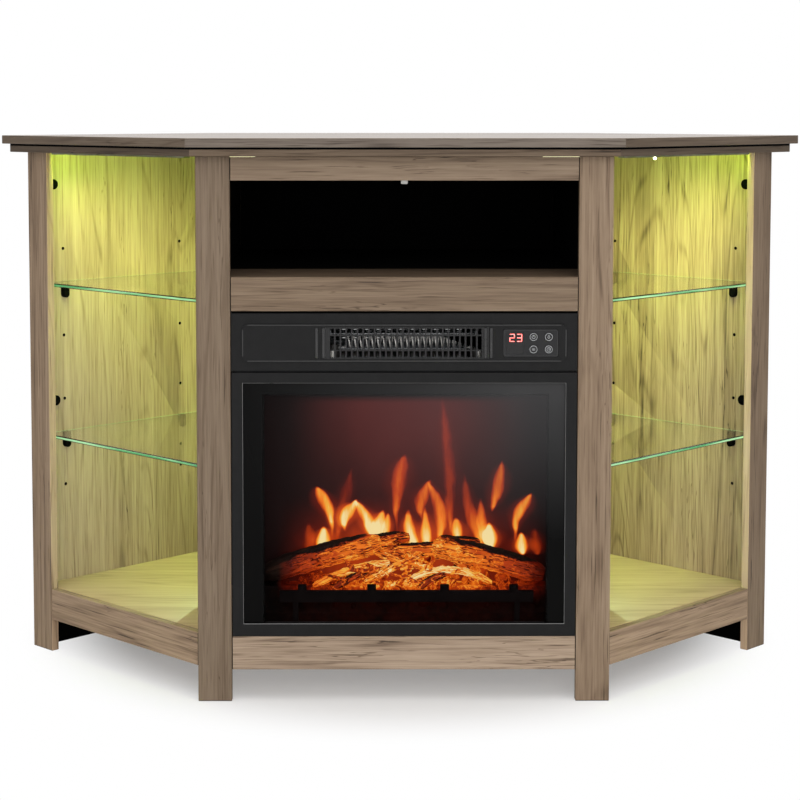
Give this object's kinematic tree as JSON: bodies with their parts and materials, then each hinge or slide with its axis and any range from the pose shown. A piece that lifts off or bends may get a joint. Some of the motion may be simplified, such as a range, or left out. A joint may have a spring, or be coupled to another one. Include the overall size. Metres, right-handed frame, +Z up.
{
  "type": "corner fireplace television stand",
  "caption": "Corner stand for a television with an electric fire, an open media compartment and open side bays with glass shelves and light bars.",
  "frame": {"origin": "on the floor, under the middle of the stand's box", "axes": "+X to the right seen from the front, +Y to the back, +Z up; the fire faces -Y"},
  "size_m": [1.1472, 0.5678, 0.752],
  "materials": {
    "oak": "matte greige oak laminate",
    "clear_glass": "clear tempered glass, green at the edge",
    "support_rubber": "matte",
    "lamp_diffuser": "frosted diffuser with yellow-green light",
    "receiver_plastic": "satin",
    "black_front": "satin black",
    "fire_glass": "smoked glass with a dark border",
    "control_overlay": "satin dark overlay with a display window",
    "key_plastic": "satin",
    "housing_steel": "matte black sheet steel",
    "heater_wire": "oxidised resistance wire",
    "ceramic": "glazed ceramic",
    "blower_metal": "satin",
    "motor_steel": "zinc plated",
    "log_resin": "painted resin logs with glowing cracks",
    "ember_resin": "translucent resin embers lit from behind",
    "grate_iron": "matte black",
    "flame_diffuser": "diffusing screen with flame light",
    "mirror_foil": "bright",
    "circuit_board": "lacquered board with lamps",
    "inlet_rubber": "matte"
  },
  "bodies": {
    "stand": {"top_board": "oak", "sub_top_board": "oak", "front_post_left": "oak", "front_post_right": "oak", "outer_post_left": "oak", "outer_post_right": "oak", "top_rail": "oak", "mid_rail": "oak", "bottom_rail": "oak", "angled_rail_left": "oak", "angled_rail_right": "oak", "divider_left": "oak", "divider_right": "oak", "back_panel_left": "oak", "back_panel_right": "oak", "bottom_board": "oak", "media_shelf": "oak", "rear_panel": "oak", "support_upper_left_front": "support_rubber", "support_upper_left_rear": "support_rubber", "support_upper_left_divider": "support_rubber", "support_lower_left_front": "support_rubber", "support_lower_left_rear": "support_rubber", "support_lower_left_divider": "support_rubber", "support_upper_right_front": "support_rubber", "support_upper_right_rear": "support_rubber", "support_upper_right_divider": "support_rubber", "support_lower_right_front": "support_rubber", "support_lower_right_rear": "support_rubber", "support_lower_right_divider": "support_rubber", "light_bar_left": "lamp_diffuser", "light_bar_right": "lamp_diffuser", "light_receiver": "receiver_plastic", "window_frame": "black_front", "window_glass": "fire_glass", "fascia": "black_front", "outlet_grille": "black_front", "control_panel": "control_overlay", "fire_housing": "housing_steel", "cord_inlet": "inlet_rubber", "heater_coil": "heater_wire", "coil_terminal_left": "ceramic", "coil_terminal_right": "ceramic", "blower_motor": "motor_steel", "ember_bed": "ember_resin", "log_set": "log_resin", "fire_grate": "grate_iron", "flame_screen": "flame_diffuser", "rotor_motor": "motor_steel", "flame_light_board": "circuit_board"},
    "shelf_upper_left": {"glass_shelf_upper_left": "clear_glass"},
    "shelf_lower_left": {"glass_shelf_lower_left": "clear_glass"},
    "shelf_upper_right": {"glass_shelf_upper_right": "clear_glass"},
    "shelf_lower_right": {"glass_shelf_lower_right": "clear_glass"},
    "heat_button": {"button_heat": "key_plastic"},
    "timer_button": {"button_timer": "key_plastic"},
    "power_button": {"button_power": "key_plastic"},
    "flame_button": {"button_flame": "key_plastic"},
    "flicker_rotor": {"flame_rotor": "mirror_foil"},
    "blower_rotor": {"blower_wheel": "blower_metal"}
  },
  "joints": [
    {"name": "upper_left_shelf_lift", "type": "slide", "parent": "stand", "child": "shelf_upper_left", "axis": [0, 0, 1], "range_m": [0, 0.064]},
    {"name": "lower_left_shelf_lift", "type": "slide", "parent": "stand", "child": "shelf_lower_left", "axis": [0, 0, 1], "range_m": [0, 0.064]},
    {"name": "upper_right_shelf_lift", "type": "slide", "parent": "stand", "child": "shelf_upper_right", "axis": [0, 0, 1], "range_m": [0, 0.064]},
    {"name": "lower_right_shelf_lift", "type": "slide", "parent": "stand", "child": "shelf_lower_right", "axis": [0, 0, 1], "range_m": [0, 0.064]},
    {"name": "heat_button_press", "type": "slide", "parent": "stand", "child": "heat_button", "axis": [0, 1, 0], "range_m": [0, 0.001], "stiffness_N_per_m": 300, "springref_m": -0.0005},
    {"name": "timer_button_press", "type": "slide", "parent": "stand", "child": "timer_button", "axis": [0, 1, 0], "range_m": [0, 0.001], "stiffness_N_per_m": 300, "springref_m": -0.0005},
    {"name": "power_button_press", "type": "slide", "parent": "stand", "child": "power_button", "axis": [0, 1, 0], "range_m": [0, 0.001], "stiffness_N_per_m": 300, "springref_m": -0.0005},
    {"name": "flame_button_press", "type": "slide", "parent": "stand", "child": "flame_button", "axis": [0, 1, 0], "range_m": [0, 0.001], "stiffness_N_per_m": 300, "springref_m": -0.0005},
    {"name": "flicker_rotor_spin", "type": "hinge", "parent": "stand", "child": "flicker_rotor", "pos_m": [0, -0.13792, 0.1778], "axis": [1, 0, 0], "continuous": true},
    {"name": "blower_rotor_spin", "type": "hinge", "parent": "stand", "child": "blower_rotor", "pos_m": [0, -0.15591, 0.4837], "axis": [1, 0, 0], "continuous": true}
  ]
}
